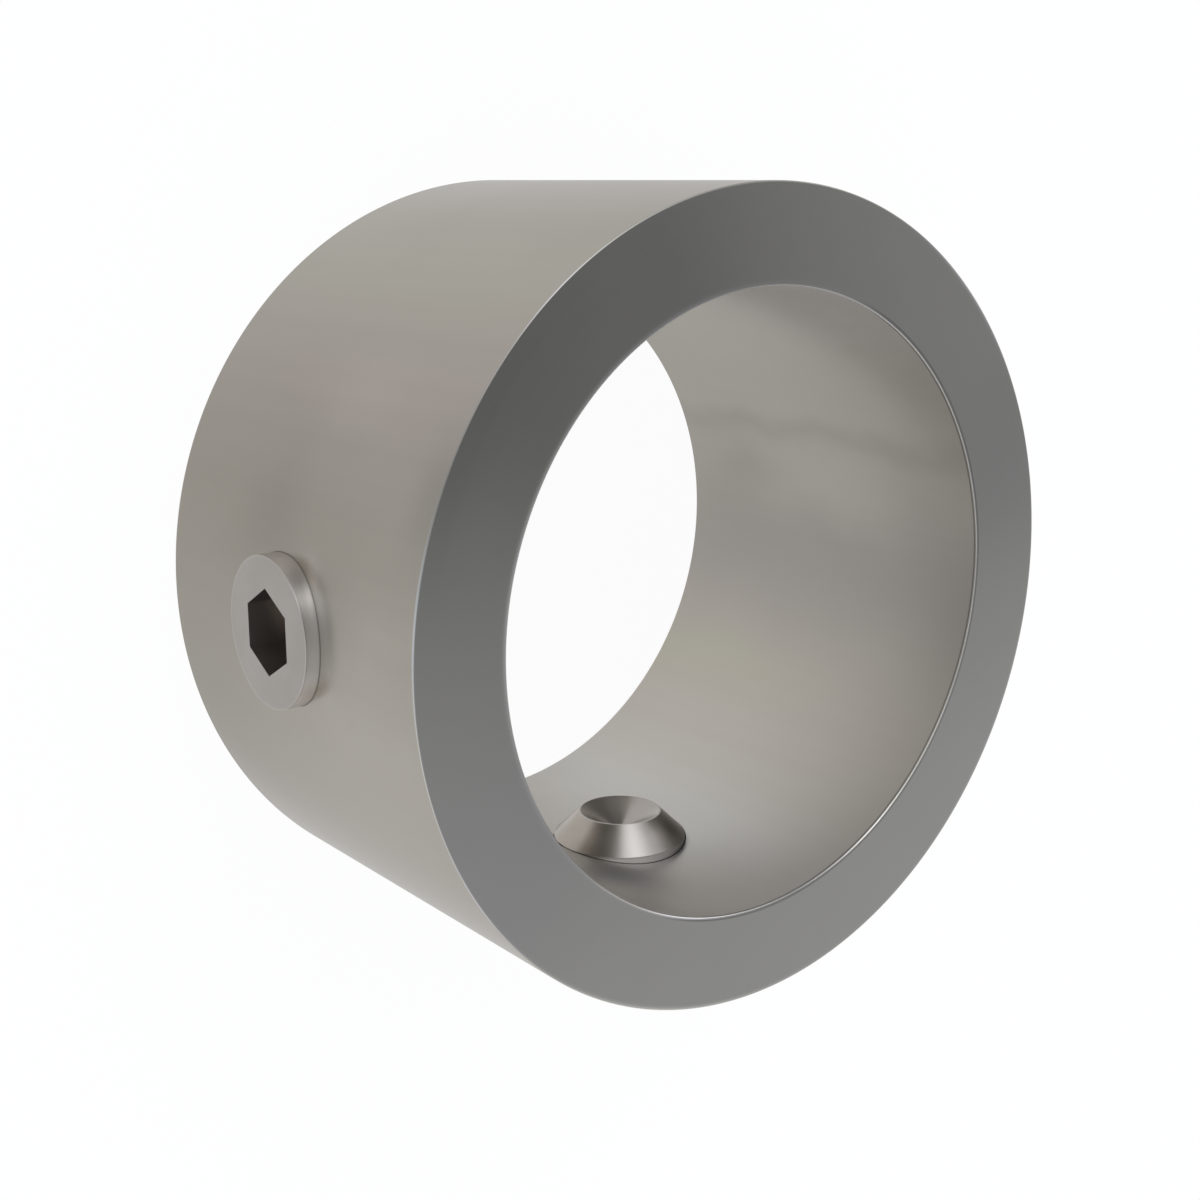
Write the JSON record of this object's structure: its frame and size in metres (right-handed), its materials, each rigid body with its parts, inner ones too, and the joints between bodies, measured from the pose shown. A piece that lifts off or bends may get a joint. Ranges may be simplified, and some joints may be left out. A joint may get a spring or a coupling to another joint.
{
  "type": "locking collar",
  "caption": "Turned steel locking collar that slides over a round tube and is fixed there by socket set screws, whose cup points bite into the tube.",
  "frame": {"origin": "on the bore's axis, in the plane of the rear face, on which the collar stands", "axes": "+Z along the bore from the rear face to the front face, +X out through the side set screw, +Y out through the lower set screw"},
  "size_m": [0.0454, 0.0454, 0.025],
  "materials": {
    "turned_steel": "satin turned steel, warm grey",
    "screw_steel": "smooth bright steel"
  },
  "bodies": {
    "collar": {"collar_ring": "turned_steel"},
    "side_screw": {"side_set_screw": "screw_steel"},
    "lower_screw": {"lower_set_screw": "screw_steel"}
  },
  "joints": [
    {"name": "side_screw_travel", "type": "slide", "parent": "collar", "child": "side_screw", "axis": [1, 0, 0], "range_m": [-0.00125, 0.00375]},
    {"name": "lower_screw_travel", "type": "slide", "parent": "collar", "child": "lower_screw", "axis": [0, 1, 0], "range_m": [-0.00125, 0.00375]}
  ]
}
